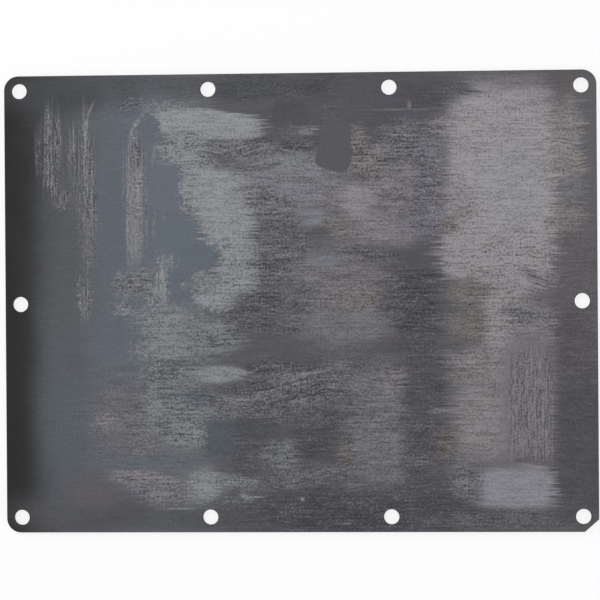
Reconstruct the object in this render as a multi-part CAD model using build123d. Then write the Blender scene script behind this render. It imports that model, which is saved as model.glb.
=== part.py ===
"""Rectangular cover plate: one piece of hot-rolled steel sheet with ten bolt holes.

Millimetres, +Z up. The plate lies on its back face, the one that seats on the opening
it covers, so that face is at Z = 0 and the outer face is on top. X runs along the long
edges and Y along the short ones. The origin is the middle of the back face.
"""
from build123d import *

import os

# The sheet
plate_length = 350.0  # along X
plate_width = 271.0  # along Y
sheet_thickness = 3.0
corner_radius = 8.5  # three of the corners
edge_round = 0.5  # rounded arris all round the outline, on both faces

# The fourth corner, at +X -Y, is clipped straight, which shows which way the plate goes
clip_length = 8.4  # taken off the long edge
clip_width = 7.3  # taken off the short edge

# The bolt holes: four along each long edge and one in the middle of each short edge
bolt_diameter = 8.0
bolt_clearance = 1.0  # hole diameter over bolt diameter
edge_distance = 9.0  # from the centre of a hole to the edge of the plate
middle_spacing = 107.0  # between the two middle holes of a long row
mouth_chamfer = 0.3  # deburred mouth of each hole, on both faces

hole_radius = (bolt_diameter + bolt_clearance) / 2
row_end = plate_length / 2 - edge_distance
row_offset = plate_width / 2 - edge_distance


def outline():
    """The flat outline: a rectangle with three round corners and one clipped."""
    right, bottom = plate_length / 2, -plate_width / 2
    with BuildSketch() as sketch:
        Rectangle(plate_length, plate_width)
        corners = sketch.vertices().sort_by_distance((right, bottom))
        fillet(corners[1:], corner_radius)
        with BuildLine():
            Polyline(
                (right - clip_length, bottom),
                (right, bottom),
                (right, bottom + clip_width),
                close=True,
            )
        make_face(mode=Mode.SUBTRACT)
    return sketch.sketch


def bolt_hole_centres():
    """The ten places where a bolt goes through."""
    along_row = (-row_end, -middle_spacing / 2, middle_spacing / 2, row_end)
    long_rows = [(x, y) for y in (-row_offset, row_offset) for x in along_row]
    short_edge_middles = [(-row_end, 0), (row_end, 0)]
    return long_rows + short_edge_middles


def cover_plate():
    """The sheet cut to its outline, rounded along its edges, then drilled and deburred."""
    with BuildPart() as plate:
        extrude(outline(), amount=sheet_thickness)
        arrises = plate.faces().filter_by(Axis.Z).edges()
        fillet(arrises, edge_round)
        with Locations(*[(x, y, sheet_thickness) for x, y in bolt_hole_centres()]):
            Hole(hole_radius)
        mouths = plate.edges(Select.LAST).filter_by(GeomType.CIRCLE)
        chamfer(mouths, mouth_chamfer)
    return plate.part


def main():
    os.makedirs("parts", exist_ok=True)
    export_step(cover_plate(), "parts/cover_plate.step")


main()
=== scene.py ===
"""Cover plate: mill-scaled steel sheet, wiped and rubbed pale in patches, on a pale floor.

The CAD node keeps its own mesh, and everything here is its material, the floor, the
lights and the camera. The finish is painted in the plate's own plane, in millimetres
from its centre: a smooth ground of scale, then strokes over it, then fine scratches.
Painted shade darkens the ground near the left edge and the rim, and a painted sheen
lightens the wiped field on the right.
"""

from math import cos, radians, sin
from typing import NamedTuple

import bpy
from mathutils import Matrix, Vector


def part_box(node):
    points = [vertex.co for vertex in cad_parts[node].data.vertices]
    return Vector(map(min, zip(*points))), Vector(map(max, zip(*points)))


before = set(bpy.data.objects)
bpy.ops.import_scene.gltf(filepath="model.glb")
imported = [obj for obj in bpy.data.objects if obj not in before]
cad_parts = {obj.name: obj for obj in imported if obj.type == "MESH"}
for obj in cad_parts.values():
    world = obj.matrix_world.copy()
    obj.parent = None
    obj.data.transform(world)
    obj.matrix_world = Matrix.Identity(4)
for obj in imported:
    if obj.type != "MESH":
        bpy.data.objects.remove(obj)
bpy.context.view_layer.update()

MM = 0.001
low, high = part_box("cover_plate")
half_length = (high.x - low.x) / 2 / MM


# ---------------------------------------------------------------- node building

class Painter:
    """Adds shader nodes to one material and wires them up."""

    def __init__(self, material):
        self.tree = material.node_tree

    def add(self, kind, inputs=(), **settings):
        """A new node with these settings, and with its inputs fed."""
        node = self.tree.nodes.new(kind)
        for name, value in settings.items():
            setattr(node, name, value)
        for socket, value in dict(inputs).items():
            self.feed(node.inputs[socket], value)
        return node

    def feed(self, socket, value):
        """Links an input to another node's output, or sets it to a plain value."""
        if isinstance(value, bpy.types.NodeSocket):
            self.tree.links.new(value, socket)
        else:
            socket.default_value = value

    def math(self, operation, a, b=0.0, c=0.0):
        node = self.add("ShaderNodeMath", {0: a, 1: b, 2: c}, operation=operation)
        return node.outputs[0]

    def vector(self, operation, a, b=(0.0, 0.0, 0.0), c=(0.0, 0.0, 0.0), output=0):
        node = self.add("ShaderNodeVectorMath", {0: a, 1: b, 2: c}, operation=operation)
        return node.outputs[output]

    def scaled(self, paints, factor):
        """A colour times a factor."""
        node = self.add("ShaderNodeVectorMath", {0: paints, "Scale": factor}, operation="SCALE")
        return node.outputs[0]

    def ramp(self, value, start, end, low=0.0, high=1.0):
        """Goes smoothly from low to high as value goes from start to end."""
        node = self.add(
            "ShaderNodeMapRange",
            {0: value, 1: start, 2: end, 3: low, 4: high},
            interpolation_type="SMOOTHSTEP",
        )
        return node.outputs[0]

    def mix(self, share, a, b):
        node = self.add("ShaderNodeMix", {0: share, 2: a, 3: b})
        return node.outputs[0]

    def mix_colour(self, share, a, b):
        node = self.add("ShaderNodeMix", {0: share, 6: a, 7: b}, data_type="RGBA")
        return node.outputs[2]

    def placed(self, where, centre, size, turn=0.0):
        """Coordinates with their origin at centre, turned, where size is one unit."""
        if turn:
            where = self.add(
                "ShaderNodeVectorRotate",
                {"Vector": where, "Center": (*centre, 0.0), "Angle": radians(-turn)},
                rotation_type="Z_AXIS",
            ).outputs[0]
        stretch = (1 / size[0], 1 / size[1], 0.0)
        shift = (-centre[0] / size[0], -centre[1] / size[1], 0.0)
        return self.vector("MULTIPLY_ADD", where, stretch, shift)

    def noise(self, where, centre, size, detail=2.0, roughness=0.5, output=0):
        """A noise from 0 to 1, with its origin at centre and grains of about size.

        Each noise has a far-off centre of its own, so that no two share a pattern. The
        second output holds three noises.
        """
        node = self.add(
            "ShaderNodeTexNoise",
            {
                "Vector": self.placed(where, centre, size),
                "Scale": 1.0,
                "Detail": detail,
                "Roughness": roughness,
            },
            noise_dimensions="2D",
        )
        return node.outputs[output]


# ---------------------------------------------------------------- the finish

# Tints, as the red, green and blue shares of a grey of the same tone
HUES = {
    # the tint of the painted shade at the plate's left edge
    "painted_shade": (1.010, 0.985, 1.005),
    "slate": (0.975, 0.990, 1.035),
    "blue": (0.925, 1.000, 1.075),
    "teal": (0.935, 1.003, 1.062),
    "indigo_blue": (0.940, 0.985, 1.080),
    "cool": (0.976, 1.000, 1.024),
    "grey": (0.992, 0.997, 1.030),
    "violet": (0.990, 0.979, 1.031),
    "indigo": (0.992, 0.967, 1.041),
    "pink": (1.008, 0.977, 1.015),
    "warm": (1.014, 0.981, 1.005),
    "beige": (1.028, 0.985, 0.987),
    "olive": (1.030, 0.990, 0.980),
}


def colour(tone, hue):
    """The display colour of a tone from 0 to 255 in a named tint."""
    return tuple(tone / 255 * share for share in HUES[hue]) + (1.0,)


# The faces that the strokes leave alone, as tone and tint
BACK = (88, "slate")
BACK_MOTTLE = 0.3  # how far the back's tone strays, as a share of it
# painted shade: the cut sides and rolled arrises, darker than the faces
RIM_SHADE = (58, "violet")
RIM_SHADE_COVER = 0.85

METALLIC = 0.6
ROUGHNESS = 0.45
DISPLAY_GAMMA = 2.2
LUMA = (0.3, 0.59, 0.11)  # what red, green and blue add to a tone

# How far, in millimetres, the ground's shades stray along X and level lines rise
WANDER = 14.0
WAVE = 2.5

# Scratches: the contrast of each field of lines, and the weights of the fields
CONTRAST = 5.0
GRAIN_WEIGHT = 1.3
LEVEL_WEIGHT = 0.75
MOTTLE_WEIGHT = 0.5

# How scratched the ground is, and the least that any place shows of each kind
GROUND_SCRATCH = 0.15
LEAST_GRAIN = 0.15
LEAST_LEVEL = 0.06
LEAST_UPRIGHT = 0.03

# What scratches do: all of them shade the colour, and the deepest show what lies under it
SHADING = 0.17
SHOWING = 0.34
MID_TONE = 105 / 255  # between bare scale and rubbed metal


class Stroke(NamedTuple):
    """One field of colour: where it lies, how it fades and how it is scratched."""

    x: float
    y: float
    along: float  # half its length
    across: float  # half its width
    tone: float
    hue: str
    turn: float = 0.0  # degrees, anticlockwise
    cover: float = 1.0  # how fully it hides what is under it
    soft: float = 0.5  # share of its size over which its edge fades
    brush: str = "level"  # what drew its edge: level, upright or flakes, or still for none
    scratch: float = 0.6  # how scratched it is: level above nought, upright below
    square: bool = False  # a block with round corners, else an oval


# The unwiped scale from the left edge to the right: distance along X, tone and tint. Its darkening towards
# the left edge is painted shade, the dark surroundings that the scale reflects there
GROUND = [
    # painted shade: the dark surroundings that the scale reflects near the left edge
    (-175, 40, "painted_shade"),
    (-165, 45, "painted_shade"),
    (-157, 56, "slate"),
    (-150, 69, "slate"),
    (-140, 82, "slate"),
    (-125, 92, "slate"),
    (-108, 98, "blue"),
    (-70, 100, "slate"),
    (-35, 86, "violet"),
    (10, 84, "violet"),
    (60, 82, "indigo"),
    (95, 86, "violet"),
    (150, 88, "pink"),
    (175, 90, "warm"),
]

STROKES = [
    # Margins
    Stroke(-140, 126, 42, 12, 68, "slate", soft=0.7, brush="still", cover=0.9, scratch=0.1),
    Stroke(-85, 129, 50, 7, 80, "slate", soft=0.7, cover=0.8, scratch=0.25),
    Stroke(-30, 127, 24, 8, 76, "slate", soft=0.5, scratch=0.4),
    Stroke(-3, 125, 7, 4, 86, "violet", soft=0.6, scratch=0.6),
    Stroke(13, 128, 12, 7, 74, "violet", soft=0.7, scratch=0.4),
    Stroke(-125, -124, 46, 12, 79, "violet", soft=0.7, scratch=0.15),
    Stroke(-58, -128, 30, 7, 82, "slate", soft=0.6, scratch=0.2),
    Stroke(38, -124, 70, 16, 73, "indigo", soft=0.5, scratch=0.6),
    # Left: smooth scale, bluer towards the bottom
    Stroke(-140, -62, 17, 58, 91, "teal", soft=0.6, brush="still", cover=0.85, scratch=0.1),
    Stroke(-113, 50, 9, 62, 97, "blue", soft=0.5, brush="still", scratch=0.1),
    Stroke(-140, 20, 14, 50, 87, "slate", soft=0.8, brush="still", cover=0.7, scratch=0.1),
    Stroke(-112, -22, 14, 18, 98, "blue", soft=0.6, brush="still", cover=0.8, scratch=0.1),
    Stroke(-105, -68, 18, 26, 99, "violet", soft=0.7, scratch=0.4),
    Stroke(-122, -112, 16, 10, 90, "pink", soft=0.7, brush="still", scratch=0.1),
    # Left: two groups of upright rubs, the first with arms that meet below it
    Stroke(-147, 90, 6, 24, 90, "slate", soft=0.7, brush="upright", scratch=-0.8),
    Stroke(-149, 92, 2.2, 19, 101, "grey", soft=0.5, brush="upright", scratch=-1),
    Stroke(-146, 71, 2.2, 10, 99, "grey", turn=25, soft=0.6, brush="upright", scratch=-1),
    Stroke(-143, 98, 1.8, 13, 98, "grey", soft=0.6, brush="upright", scratch=-1),
    Stroke(-155, 92, 1.6, 12, 84, "grey", soft=0.9, brush="upright", scratch=-0.8),
    Stroke(-140, 62, 4, 6, 97, "grey", soft=0.7, brush="flakes", scratch=-0.8),
    Stroke(-128, 82, 9, 28, 95, "slate", soft=0.7, brush="upright", cover=0.7, scratch=-0.8),
    Stroke(-136, 89, 0.9, 12, 101, "grey", soft=0.8, brush="upright", scratch=-0.8),
    Stroke(-133.4, 93, 0.9, 11, 109, "grey", soft=0.8, brush="upright", scratch=-0.8),
    Stroke(-127, 90, 1.5, 24, 112, "grey", soft=0.7, brush="upright", scratch=-1),
    Stroke(-126.2, 104, 0.9, 9, 129, "grey", turn=-6, soft=0.6, brush="still", scratch=-0.6),
    Stroke(-123.6, 115, 0.7, 5, 108, "grey", turn=-25, soft=0.8, brush="still", scratch=-0.6),
    Stroke(-123.4, 74, 2.0, 20, 105, "grey", soft=0.7, brush="upright", scratch=-1),
    Stroke(-125, 52, 4.5, 14, 104, "grey", soft=0.6, brush="flakes", scratch=-0.8),
    Stroke(-125, 30, 3.5, 12, 99, "grey", soft=0.8, brush="flakes", scratch=-0.6),
    Stroke(-127.5, 3, 3.4, 12, 108, "grey", soft=0.6, brush="flakes", scratch=-0.9),
    Stroke(-98, 118, 9, 2.6, 99, "slate", soft=0.7, brush="flakes", scratch=0.8),
    # Island of blue scale left between the rubs and the wiped field
    Stroke(-86, 55, 17, 66, 101, "blue", soft=0.3, brush="still", scratch=0.05),
    Stroke(-104, 76, 0.8, 16, 104, "slate", soft=0.8, brush="upright", scratch=-0.6),
    Stroke(-90.4, 62, 0.8, 28, 109, "slate", soft=0.8, brush="upright", scratch=-0.6),
    Stroke(-86, 46, 0.8, 13, 109, "cool", soft=0.8, brush="upright", scratch=-0.6),
    Stroke(-80.5, 48, 0.8, 10, 112, "cool", soft=0.8, brush="upright", scratch=-0.6),
    Stroke(-86, 89, 1.6, 8, 110, "cool", turn=-10, soft=0.9, brush="upright", scratch=-0.8),
    # The long dotted rub beside it, with its curved tip
    Stroke(-97.6, 57, 4.8, 34, 116, "grey", soft=0.25, brush="upright", square=True, scratch=-0.5),
    Stroke(-95.3, 62, 1.7, 28, 127, "grey", soft=0.6, brush="flakes", scratch=0.9),
    Stroke(-101.6, 55, 0.8, 30, 121, "grey", soft=0.6, brush="upright", scratch=-0.8),
    Stroke(-96, 91, 3.6, 11, 106, "violet", soft=0.7, brush="upright", scratch=-1),
    Stroke(-98.6, 101, 1.3, 6, 126, "grey", turn=-15, soft=0.6, brush="still", scratch=-0.6),
    Stroke(-94.2, 109, 1.3, 6.5, 132, "cool", turn=-38, soft=0.5, brush="still", scratch=-0.3),
    Stroke(-104, 11, 6, 8, 109, "grey", soft=0.6, brush="flakes", scratch=0.9),
    Stroke(-104, -3, 6, 4, 112, "grey", soft=0.6, brush="flakes", scratch=0.9),
    Stroke(-92, 13, 9, 9, 106, "grey", soft=0.6, brush="flakes", scratch=0.9),
    # Wiped field left of the middle
    Stroke(-54, 105.8, 33, 8.5, 137, "cool", turn=-6, soft=0.14, square=True, scratch=0.35),
    Stroke(-80, 117, 14, 2.5, 112, "cool", soft=0.8, brush="flakes", scratch=0.8),
    Stroke(-69, 92, 13, 10, 124, "cool", soft=0.3, square=True, scratch=1),
    Stroke(-60, 71, 11, 18, 128, "cool", soft=0.3, brush="flakes", square=True, scratch=0.8),
    Stroke(-44, 65, 17, 14, 137, "cool", soft=0.25, square=True, scratch=0.4),
    Stroke(-42, 45, 16, 14, 136, "cool", soft=0.25, square=True, scratch=0.45),
    Stroke(-36, 20, 13, 17, 131, "cool", soft=0.3, square=True, scratch=0.7),
    Stroke(-50, 4, 13, 8, 132, "cool", soft=0.3, brush="flakes", square=True, scratch=0.7),
    Stroke(-57, 14, 6, 5, 118, "cool", soft=0.6, brush="flakes", scratch=0.8),
    # The island's right side, and the tail below it
    Stroke(-80, 69, 9.5, 14, 104, "indigo_blue", soft=0.12, brush="flakes", square=True, scratch=0.02),
    Stroke(-73, 36, 13, 15, 103, "blue", soft=0.15, brush="flakes", square=True, scratch=0.02),
    Stroke(-59, 28, 11, 9, 101, "blue", soft=0.15, brush="flakes", scratch=0.02),
    Stroke(-69, 6, 6, 14, 101, "blue", soft=0.3, brush="flakes", square=True, scratch=0.1),
    Stroke(-67, 12, 2, 1.6, 118, "cool", soft=0.6, brush="flakes"),
    Stroke(-89, 104, 6, 9, 100, "blue", soft=0.3, brush="flakes", scratch=0.1),
    Stroke(-81.5, 12, 3.8, 15, 129, "cool", soft=0.5, brush="flakes", scratch=-0.9),
    Stroke(-76, 24, 1.8, 3, 122, "cool", soft=0.6, brush="flakes", scratch=-0.6),
    Stroke(-86, 4, 4, 6, 121, "cool", soft=0.6, brush="flakes", scratch=0.9),
    # Middle, upper part
    Stroke(-2, 72, 32, 17, 116, "violet", soft=0.4, square=True, scratch=0.6),
    Stroke(-33, 91, 21, 6, 102, "violet", soft=0.5, scratch=1),
    Stroke(-24, 95.5, 10, 1.6, 88, "violet", turn=10, soft=0.6, scratch=0.8),
    Stroke(-37, 80.5, 12, 1.6, 98, "violet", turn=-8, soft=0.7, scratch=0.8),
    Stroke(-6, 83, 14, 5, 119, "cool", turn=8, soft=0.5, scratch=0.6),
    Stroke(-15, 81.5, 9, 1.1, 96, "violet", turn=18, soft=0.7, scratch=0.6),
    Stroke(0, 92, 12, 4, 92, "violet", soft=0.5, scratch=1),
    Stroke(-5, 111.5, 10.5, 7.5, 78, "violet", soft=0.3, brush="still", square=True, scratch=0.15),
    Stroke(-6, 100, 5, 6, 86, "violet", soft=0.3, square=True, scratch=0.4),
    Stroke(6, 101.5, 6, 3, 112, "pink", soft=0.4, scratch=0.6),
    Stroke(-15, 58, 14, 9, 106, "violet", soft=0.6, scratch=1),
    Stroke(6, 50, 11, 5, 120, "slate", soft=0.4, square=True, scratch=0.25),
    Stroke(34, 90, 5, 13, 112, "beige", soft=0.5, scratch=1),
    Stroke(43, 83, 9, 11, 106, "beige", soft=0.6, scratch=1),
    Stroke(62, 92, 16, 14, 100, "violet", soft=0.5, scratch=1),
    Stroke(60, 68, 20, 14, 110, "pink", soft=0.5, scratch=0.8),
    Stroke(46, 44, 24, 11, 118, "pink", soft=0.5, square=True, scratch=0.5),
    Stroke(35, 61, 11, 10, 130, "pink", soft=0.4, scratch=0.35),
    Stroke(18, 58, 2.4, 14, 105, "beige", soft=0.6, scratch=0.7),
    Stroke(22, 43, 4.5, 6, 102, "beige", soft=0.7, scratch=0.7),
    Stroke(83, 103, 8, 6, 112, "pink", soft=0.6, scratch=0.8),
    # Tongue of bare scale
    Stroke(19, 110, 6, 8, 85, "violet", soft=0.3, brush="still", square=True, scratch=0.3),
    Stroke(22.2, 94, 8.8, 13, 86, "violet", soft=0.06, brush="still", square=True, scratch=0.02),
    Stroke(21, 86.5, 10.4, 9, 86, "violet", turn=-18, soft=0.06, brush="still", square=True, scratch=0.02),
    # Middle, lower part
    Stroke(-10, 28, 16, 24, 94, "violet", soft=0.6, scratch=0.9),
    Stroke(24, 4, 32, 30, 107, "pink", soft=0.5, scratch=0.6),
    Stroke(-13, 23, 8, 4, 84, "violet", soft=0.6, scratch=0.9),
    Stroke(15, 24, 12, 4, 114, "slate", soft=0.5, scratch=0.3),
    Stroke(44, 28, 17, 4, 86, "violet", turn=-10, soft=0.5, scratch=0.7),
    Stroke(-19, 1, 15, 8, 82, "violet", soft=0.4, scratch=0.8),
    Stroke(-30, -10, 14, 7, 88, "violet", soft=0.5, scratch=0.8),
    Stroke(-10, -15, 10, 4, 84, "violet", soft=0.6, scratch=0.8),
    Stroke(0, 3, 11, 9, 92, "violet", soft=0.6, scratch=0.7),
    Stroke(30, -14, 22, 8, 109, "violet", soft=0.6, scratch=0.4),
    Stroke(35, 2, 14, 6, 106, "beige", soft=0.6, scratch=0.9),
    Stroke(-17, -38, 14, 6, 83, "violet", soft=0.5, scratch=0.8),
    Stroke(0, -52, 48, 13, 93, "violet", turn=12, soft=0.6, scratch=1),
    Stroke(-15, -45, 24, 1.7, 85, "violet", turn=13, soft=0.7, scratch=0.9),
    Stroke(2, -43, 20, 1.2, 110, "violet", turn=14, soft=0.7, scratch=0.9),
    Stroke(-8, -49.5, 18, 1.4, 108, "violet", turn=13, soft=0.7, scratch=0.9),
    Stroke(18, -47.5, 20, 0.9, 87, "violet", turn=14, soft=0.7, scratch=0.9),
    Stroke(-35, -57, 20, 2.2, 105, "violet", turn=9, soft=0.7, scratch=1),
    Stroke(-22, -66, 18, 6, 93, "violet", soft=0.6, scratch=0.9),
    Stroke(4, -54, 15, 3.5, 82, "violet", turn=12, soft=0.6, scratch=1),
    Stroke(45, -74, 19, 34, 105, "violet", soft=0.5, square=True, scratch=0.6),
    Stroke(53, -47, 8, 9, 109, "pink", soft=0.5, scratch=0.7),
    Stroke(29, -90, 5, 13, 95, "olive", soft=0.6, scratch=0.8),
    # Left of the middle, lower part
    Stroke(-52, -20, 16, 11, 109, "cool", soft=0.5, scratch=0.9),
    Stroke(-80, -11, 17, 10, 119, "cool", soft=0.6, brush="flakes", scratch=0.75),
    Stroke(-78, -27, 20, 7, 121, "cool", soft=0.5, brush="flakes", scratch=0.75),
    Stroke(-73, -42, 20, 9, 102, "cool", soft=0.6, scratch=0.9),
    Stroke(-48, -42, 16, 5, 128, "cool", turn=2, soft=0.35, scratch=0.5),
    Stroke(-85, -43, 2.5, 8, 117, "cool", soft=0.6, brush="flakes", scratch=0.9),
    Stroke(-72, -66, 24, 16, 107, "cool", soft=0.6, scratch=0.9),
    Stroke(-87, -62, 3.6, 11, 119, "cool", soft=0.6, brush="flakes", scratch=0.7),
    Stroke(-114, -70, 8, 5, 110, "pink", soft=0.6, brush="flakes", scratch=0.7),
    Stroke(-94, -83, 8, 7, 105, "pink", soft=0.6, brush="flakes", scratch=0.7),
    Stroke(-67, -77, 13, 8, 117, "cool", soft=0.5, scratch=1),
    Stroke(-85, -94, 25, 4, 98, "teal", soft=0.6, cover=0.8, scratch=0.3),
    Stroke(-63, -55, 8, 4.5, 93, "blue", soft=0.6, scratch=0.5),
    Stroke(-46, -80, 11, 11, 85, "blue", soft=0.2, brush="flakes", square=True, scratch=0.2),
    Stroke(-31, -90, 8, 12, 80, "violet", soft=0.35, brush="flakes", square=True, scratch=0.5),
    Stroke(-27, -74, 13, 6, 77, "slate", soft=0.3, square=True, scratch=0.3),
    Stroke(-12, -90, 12, 9, 98, "cool", soft=0.4, scratch=1),
    Stroke(9, -80, 12, 13, 76, "violet", soft=0.3, square=True, scratch=0.5),
    Stroke(21, -67, 12, 5, 81, "violet", turn=20, soft=0.5, scratch=0.7),
    Stroke(2, -103, 26, 6, 92, "violet", turn=8, soft=0.6, scratch=0.8),
    Stroke(4, -101.5, 14, 1.1, 104, "violet", turn=15, soft=0.7, scratch=0.8),
    Stroke(-92, -104, 19, 5, 115, "pink", turn=-6, soft=0.4, scratch=0.8),
    Stroke(-82, -112, 18, 7, 108, "violet", turn=-4, soft=0.5, scratch=0.8),
    Stroke(-57, -108, 11, 10, 126, "cool", soft=0.4, scratch=0.6),
    Stroke(-37, -106, 12, 4.5, 114, "cool", turn=-8, soft=0.5, scratch=0.8),
    Stroke(-31, -115, 5, 2.6, 117, "cool", soft=0.6, scratch=0.8),
    Stroke(-43, -117, 9, 4, 90, "slate", soft=0.6, scratch=0.6),
    Stroke(-72, -121.4, 14, 0.7, 108, "cool", soft=0.7, scratch=0.6),
    Stroke(0.8, -116, 1, 1.2, 125, "cool", soft=0.6, brush="still", scratch=0.2),
    # Indigo column of bare scale
    Stroke(56, 3, 9, 16, 86, "indigo", soft=0.6, scratch=0.7),
    Stroke(70, -2, 11, 22, 76, "indigo", soft=0.3, square=True, scratch=0.7),
    Stroke(73, -42, 11, 24, 80, "indigo", soft=0.35, square=True, scratch=0.5),
    Stroke(72, -96, 10, 40, 82, "indigo", soft=0.45, square=True, scratch=0.55),
    Stroke(70, -95, 3, 3, 102, "violet", soft=0.8, scratch=0.8),
    Stroke(82, -64, 7, 1.5, 104, "violet", soft=0.8, scratch=0.8),
    Stroke(77, 72, 7, 22, 103, "indigo", soft=0.5, square=True, scratch=0.9),
    Stroke(75, 47, 13, 9, 104, "indigo", soft=0.5, square=True, scratch=0.7),
    Stroke(75, 121, 12, 8, 78, "indigo", soft=0.25, square=True, scratch=0.25),
    Stroke(62, 113.4, 24, 0.7, 100, "violet", soft=0.6, scratch=0.5),
    Stroke(65.5, 116, 1.1, 2.4, 112, "olive", soft=0.6, brush="still", scratch=0.3),
    # Large wiped field on the right: pale rubbed metal, lightened further by a painted sheen that stands
    # for a light reflected on the right
    Stroke(120, 72, 33, 57, 141, "warm", soft=0.22, square=True, scratch=0.5),
    Stroke(94, 29, 12, 17, 136, "warm", soft=0.4, scratch=0.6),
    Stroke(126, 68, 18, 26, 142, "grey", soft=0.9, cover=0.8, scratch=0.4),
    Stroke(96, 58, 9, 12, 129, "warm", soft=0.6, scratch=0.7),
    Stroke(91, 125, 11, 5, 86, "slate", soft=0.5, scratch=0.4),
    Stroke(87, 46, 5, 5, 100, "beige", soft=0.6, scratch=0.8),
    Stroke(160, 90, 10, 28, 122, "beige", soft=0.5, scratch=0.7),
    Stroke(158, 48, 11, 10, 113, "beige", soft=0.5, scratch=0.7),
    Stroke(164, 66, 10, 7, 104, "violet", soft=0.6, scratch=0.4),
    Stroke(125, 22, 25, 17, 137, "warm", soft=0.4, square=True, scratch=0.8),
    Stroke(120, -9, 14, 23, 130, "warm", soft=0.4, square=True, scratch=0.7),
    Stroke(140, -16, 13, 15, 112, "pink", soft=0.6, scratch=0.8),
    Stroke(141, 14, 13, 3, 106, "pink", turn=-28, soft=0.5, scratch=0.9),
    Stroke(131, -8, 11, 4, 105, "violet", turn=-15, soft=0.6, scratch=0.9),
    Stroke(98, 5, 12, 8, 100, "olive", soft=0.4, scratch=0.6),
    Stroke(98, -14, 12, 10, 102, "olive", soft=0.5, scratch=0.6),
    Stroke(108, -34, 21, 7, 118, "warm", soft=0.5, scratch=0.8),
    Stroke(99, -44, 12, 4, 108, "olive", soft=0.6, scratch=0.8),
    Stroke(118, -42, 12, 9, 119, "warm", soft=0.6, scratch=0.7),
    Stroke(108, -70, 18, 24, 122, "warm", soft=0.45, square=True, scratch=0.5),
    Stroke(136, -60, 15, 36, 110, "pink", soft=0.35, brush="upright", square=True, scratch=-0.7),
    Stroke(127, -110, 24, 12.5, 132, "violet", soft=0.3, square=True, scratch=0.25),
    Stroke(138, -94.6, 11, 1, 90, "pink", turn=-10, soft=0.6, scratch=0.4),
    Stroke(139, -97.4, 12, 0.8, 122, "pink", turn=-10, soft=0.6, scratch=0.4),
    Stroke(96, -108, 9, 12, 101, "violet", soft=0.5, scratch=0.9),
    Stroke(86, -84, 5, 12, 90, "olive", soft=0.6, scratch=0.7),
    Stroke(82, -122, 20, 9, 72, "indigo", soft=0.6, scratch=0.5),
    Stroke(122, -128, 46, 6, 88, "violet", soft=0.5, scratch=0.6),
    # Right margin
    Stroke(165, 18, 13, 22, 91, "pink", soft=0.5, square=True, scratch=0.3),
    Stroke(164, -30, 13, 26, 84, "pink", soft=0.4, square=True, scratch=0.4),
    Stroke(165, -88, 15, 42, 78, "violet", soft=0.25, square=True, scratch=0.3),
    Stroke(172, 90, 5, 48, 94, "violet", soft=0.6, square=True, scratch=0.15),
]


class Bend(NamedTuple):
    """A place where the level scratches rise or fall from left to right."""

    x: float
    y: float
    along: float  # half its length
    across: float  # half its width
    slope: float


BENDS = [
    Bend(-28, 88, 30, 13, 0.22),
    Bend(-5, -50, 55, 20, 0.24),
    Bend(140, 12, 22, 14, -0.38),
    Bend(158, 86, 14, 18, -0.35),
    Bend(0, -102, 30, 10, 0.20),
]


def surface_coordinates(paint):
    """Millimetres from the plate's centre, flattened on to its face."""
    place = paint.add("ShaderNodeTexCoord").outputs["Object"]
    return paint.vector("MULTIPLY", place, (1 / MM, 1 / MM, 0.0))


def bent_coordinates(paint, where):
    """The same, with lines that are level in them bent as the level scratches run."""
    wave = paint.noise(where, (500, 0), (90, 25), detail=1)
    lift = paint.math("MULTIPLY", wave, WAVE)
    for bend in BENDS:
        near = paint.placed(where, (bend.x, bend.y), (bend.along, bend.across))
        share = paint.ramp(paint.vector("LENGTH", near, output=1), 0.2, 1.0, 1.0, 0.0)
        drop = paint.vector("DOT_PRODUCT", near, (-bend.slope * bend.along, 0, 0), output=1)
        lift = paint.math("MULTIPLY_ADD", share, drop, lift)
    raised = paint.add("ShaderNodeCombineXYZ", {1: lift}).outputs[0]
    return paint.vector("ADD", where, raised)


def brushed_coordinates(paint, where, bent):
    """Coordinates in which a stroke's edge comes out as each brush drew it."""
    def torn(noise, along, across):
        """Each place moved by up to this many millimetres to either side."""
        moved = paint.vector("MULTIPLY_ADD", noise, (2 * along, 2 * across, 0), where)
        return paint.vector("SUBTRACT", moved, (along, across, 0))

    rows = paint.noise(bent, (0, 40), (22, 1.1), roughness=0.6)
    columns = paint.noise(where, (70, 0), (1.1, 26), roughness=0.6)
    flakes = paint.noise(where, (0, 90), (3.4, 2.2), roughness=0.6, output=1)
    return {
        "still": where,
        "level": torn(rows, 11, 1.0),
        "upright": torn(columns, 0.5, 16),
        "flakes": torn(flakes, 8, 7),
    }


def reach(paint, brushes, stroke):
    """How much of the stroke lies at each place, from 0 to its cover."""
    where = brushes[stroke.brush]
    near = paint.placed(where, (stroke.x, stroke.y), (stroke.along, stroke.across), stroke.turn)
    if stroke.square:
        squared = paint.vector("MULTIPLY", near, near)
        fourth = paint.vector("DOT_PRODUCT", squared, squared, output=1)
        distance = paint.math("POWER", fourth, 0.25)
    else:
        distance = paint.vector("LENGTH", near, output=1)
    return paint.ramp(distance, 1 - stroke.soft, 1 + stroke.soft, stroke.cover, 0.0)


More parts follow.
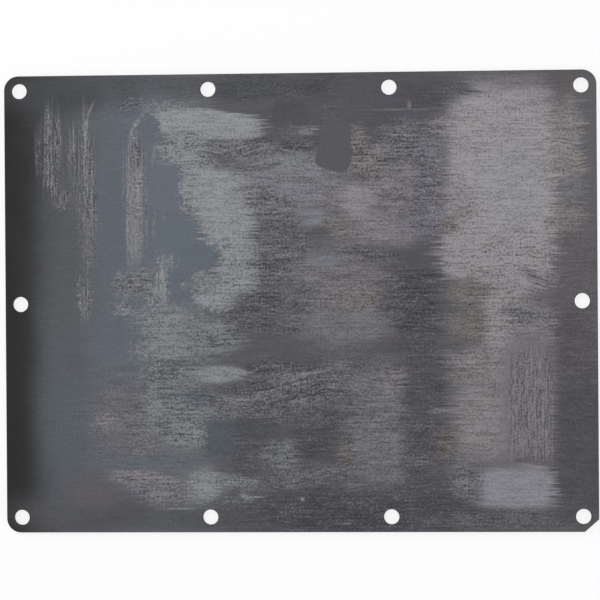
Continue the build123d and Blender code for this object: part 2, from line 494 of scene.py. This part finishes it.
def ground(paint, where):
    """The smooth scale under the strokes; its darkening towards the left edge is painted shade, a dark
    reflection.
    """
    distance = paint.add("ShaderNodeSeparateXYZ", {0: where}).outputs[0]
    wander = paint.noise(where, (0, 200), (30, 45))
    shifted = paint.math("MULTIPLY_ADD", wander, WANDER, distance)
    share = paint.ramp(shifted, WANDER / 2 - half_length, WANDER / 2 + half_length)
    node = paint.add("ShaderNodeValToRGB", {0: share})
    node.color_ramp.interpolation = "EASE"
    stops = node.color_ramp.elements
    while len(stops) < len(GROUND):
        stops.new(1.0)
    for stop, (x, tone, hue) in zip(stops, GROUND):
        # The share rises slowly at both ends, so each stop is placed by the same curve
        straight = (x + half_length) / (2 * half_length)
        stop.position = straight * straight * (3 - 2 * straight)
        stop.color = colour(tone, hue)
    return node.outputs[0]


def painted_face(paint, where, bent):
    """The plate's colour, and how scratched it is, from the strokes over the ground."""
    brushes = brushed_coordinates(paint, where, bent)
    face = ground(paint, where)
    scratched = GROUND_SCRATCH
    for stroke in STROKES:
        share = reach(paint, brushes, stroke)
        face = paint.mix_colour(share, face, colour(stroke.tone, stroke.hue))
        scratched = paint.mix(share, scratched, stroke.scratch)
    return face, scratched


def scratches(paint, where, bent, scratched):
    """How much lighter or darker the scratches make each place, about nought."""
    def lines(field, long, wide, centre):
        noise = paint.noise(field, centre, (long, wide), detail=1)
        return paint.math("MULTIPLY_ADD", noise, CONTRAST, -CONTRAST / 2)

    grain = lines(where, 1.2, 1.15, (300, 300))
    level = paint.math("ADD", lines(bent, 4.5, 1.3, (400, 0)), lines(bent, 26, 1.3, (300, 0)))
    upright = paint.math("ADD", lines(where, 1.0, 5, (0, 400)), lines(where, 1.1, 25, (0, 300)))
    level_share = paint.math("MAXIMUM", scratched, LEAST_LEVEL)
    upright_share = paint.math("MAXIMUM", paint.math("MULTIPLY", scratched, -1.0), LEAST_UPRIGHT)
    grain_share = paint.math("MAXIMUM", paint.math("ABSOLUTE", scratched), LEAST_GRAIN)
    mottle = paint.math("MULTIPLY", lines(bent, 15, 5.5, (600, 0)), MOTTLE_WEIGHT)
    level = paint.math("MULTIPLY_ADD", level, LEVEL_WEIGHT, mottle)
    depth = paint.math("MULTIPLY", paint.math("MULTIPLY", grain, GRAIN_WEIGHT), grain_share)
    depth = paint.math("MULTIPLY_ADD", level, level_share, depth)
    return paint.math("MULTIPLY_ADD", upright, upright_share, depth)


def scratched_face(paint, face, depth):
    """The colour of the face as its scratches lighten and darken it.

    Where they go deepest, scale shows pale metal and pale metal shows scale.
    """
    shaded = paint.scaled(face, paint.math("MULTIPLY_ADD", depth, SHADING, 1.0))
    tone = paint.vector("DOT_PRODUCT", face, LUMA, output=1)
    under = paint.scaled(HUES["violet"], paint.math("SUBTRACT", 2 * MID_TONE, tone))
    deepest = paint.math("MULTIPLY", paint.ramp(depth, 0.2, 2.0), SHOWING)
    return paint.mix_colour(deepest, shaded, under)


def back_face(paint, where):
    """Unwiped scale, a little mottled."""
    mottle = paint.noise(where, (700, 0), (28, 20), detail=3, roughness=0.6)
    shade = paint.math("MULTIPLY_ADD", mottle, BACK_MOTTLE, 1 - BACK_MOTTLE / 2)
    return paint.scaled(colour(*BACK)[:3], shade)


def rim_shade_share(paint, upward):
    """Where the cut sides and their arrises are, which get painted shade, darker than the faces, as a
    rolled edge looks dark.
    """
    return paint.ramp(paint.math("ABSOLUTE", upward), 0.8, 0.995, RIM_SHADE_COVER, 0.0)


def steel_material():
    """Mill-scaled steel: painted in front, plain behind, and with painted shade at its rim."""
    material = bpy.data.materials.new("mill_scaled_steel")
    material.use_nodes = True
    paint = Painter(material)
    shader = material.node_tree.nodes["Principled BSDF"]
    where = surface_coordinates(paint)
    bent = bent_coordinates(paint, where)
    face, scratched = painted_face(paint, where, bent)
    lit = scratched_face(paint, face, scratches(paint, where, bent, scratched))
    facing = paint.add("ShaderNodeTexCoord").outputs["Normal"]
    upward = paint.add("ShaderNodeSeparateXYZ", {0: facing}).outputs[2]
    behind = paint.ramp(upward, -0.9, -0.5, 1.0, 0.0)
    lit = paint.mix_colour(behind, lit, back_face(paint, where))
    # painted shade on the cut sides and arrises
    lit = paint.mix_colour(rim_shade_share(paint, upward), lit, colour(*RIM_SHADE))
    # Display colour to light: the shader works in linear light
    linear = paint.add("ShaderNodeGamma", {0: lit, 1: DISPLAY_GAMMA}).outputs[0]
    paint.feed(shader.inputs["Base Color"], linear)
    shader.inputs["Metallic"].default_value = METALLIC
    shader.inputs["Roughness"].default_value = ROUGHNESS
    return material


# ---------------------------------------------------------------- stage

# Where the camera stands and the point of the plate's face that it looks at, in metres
LENS = 144
CAMERA_PLACE = Vector((0.0842, 0.0052, 1.416))
CAMERA_AIM = Vector((0.0003, 0.00155, high.z))
CAMERA_ROLL = radians(0.4)
FAR_CLIP = 20

FLOOR_HALF = 6.0
FLOOR_SHADE = 0.9
FLOOR_ROUGHNESS = 0.9
FLOOR_GLOW = 0.8  # share of plain white in what the camera sees of the floor

SURROUND = 0.88
KEY_SIZE = 1.6
KEY_POWER = 14
KEY_PLACE = Vector((-1.3, 1.1, 1.1))


def add_object(name, data):
    made = bpy.data.objects.new(name, data)
    bpy.context.scene.collection.objects.link(made)
    return made


def camera():
    """Looks straight down at the plate from a little to its right."""
    data = bpy.data.cameras.new("camera")
    data.lens = LENS
    data.clip_end = FAR_CLIP
    made = add_object("camera", data)
    made.location = CAMERA_PLACE
    toward = (CAMERA_AIM - CAMERA_PLACE).normalized()
    right = toward.cross(Vector((sin(CAMERA_ROLL), cos(CAMERA_ROLL), 0))).normalized()
    upward = right.cross(toward)
    made.rotation_mode = "QUATERNION"
    made.rotation_quaternion = Matrix((right, upward, -toward)).transposed().to_quaternion()
    bpy.context.scene.camera = made


def floor_material():
    """Matt and pale, with a glow that only what looks at it sees."""
    material = bpy.data.materials.new("pale_floor")
    material.use_nodes = True
    paint = Painter(material)
    nodes = material.node_tree.nodes
    shader = nodes["Principled BSDF"]
    shader.inputs["Base Color"].default_value = (FLOOR_SHADE, FLOOR_SHADE, FLOOR_SHADE, 1)
    shader.inputs["Roughness"].default_value = FLOOR_ROUGHNESS
    shader.inputs["Specular IOR Level"].default_value = 0.0
    glow = paint.add("ShaderNodeEmission", {"Strength": 1.0})
    rays = paint.add("ShaderNodeLightPath").outputs
    seen = paint.math("MAXIMUM", rays["Is Camera Ray"], rays["Is Glossy Ray"])
    seen = paint.math("MAXIMUM", seen, rays["Is Transmission Ray"])
    share = paint.math("MULTIPLY", seen, FLOOR_GLOW)
    both = paint.add("ShaderNodeMixShader", {0: share, 1: shader.outputs[0], 2: glow.outputs[0]})
    paint.feed(nodes["Material Output"].inputs["Surface"], both.outputs[0])
    return material


def floor():
    """A pale floor that the camera sees as near white, with the plate's soft shadow."""
    corners = [
        (-FLOOR_HALF, -FLOOR_HALF, 0),
        (FLOOR_HALF, -FLOOR_HALF, 0),
        (FLOOR_HALF, FLOOR_HALF, 0),
        (-FLOOR_HALF, FLOOR_HALF, 0),
    ]
    mesh = bpy.data.meshes.new("floor")
    mesh.from_pydata(corners, [], [(0, 1, 2, 3)])
    mesh.materials.append(floor_material())
    add_object("floor", mesh)


def lights():
    """A white surround, and one large lamp up on the left."""
    world = bpy.data.worlds.new("studio")
    world.use_nodes = True
    background = world.node_tree.nodes["Background"]
    background.inputs["Color"].default_value = (1, 1, 1, 1)
    background.inputs["Strength"].default_value = SURROUND
    bpy.context.scene.world = world
    data = bpy.data.lights.new("key", "AREA")
    data.shape = "SQUARE"
    data.size = KEY_SIZE
    data.energy = KEY_POWER
    key = add_object("key", data)
    key.location = KEY_PLACE
    key.rotation_mode = "QUATERNION"
    key.rotation_quaternion = (-KEY_PLACE).to_track_quat("-Z", "Y")


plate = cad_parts["cover_plate"]
steel = steel_material()
for material_slot in plate.material_slots:
    material_slot.material = steel

camera()
floor()
lights()
bpy.context.scene.view_settings.view_transform = "Standard"
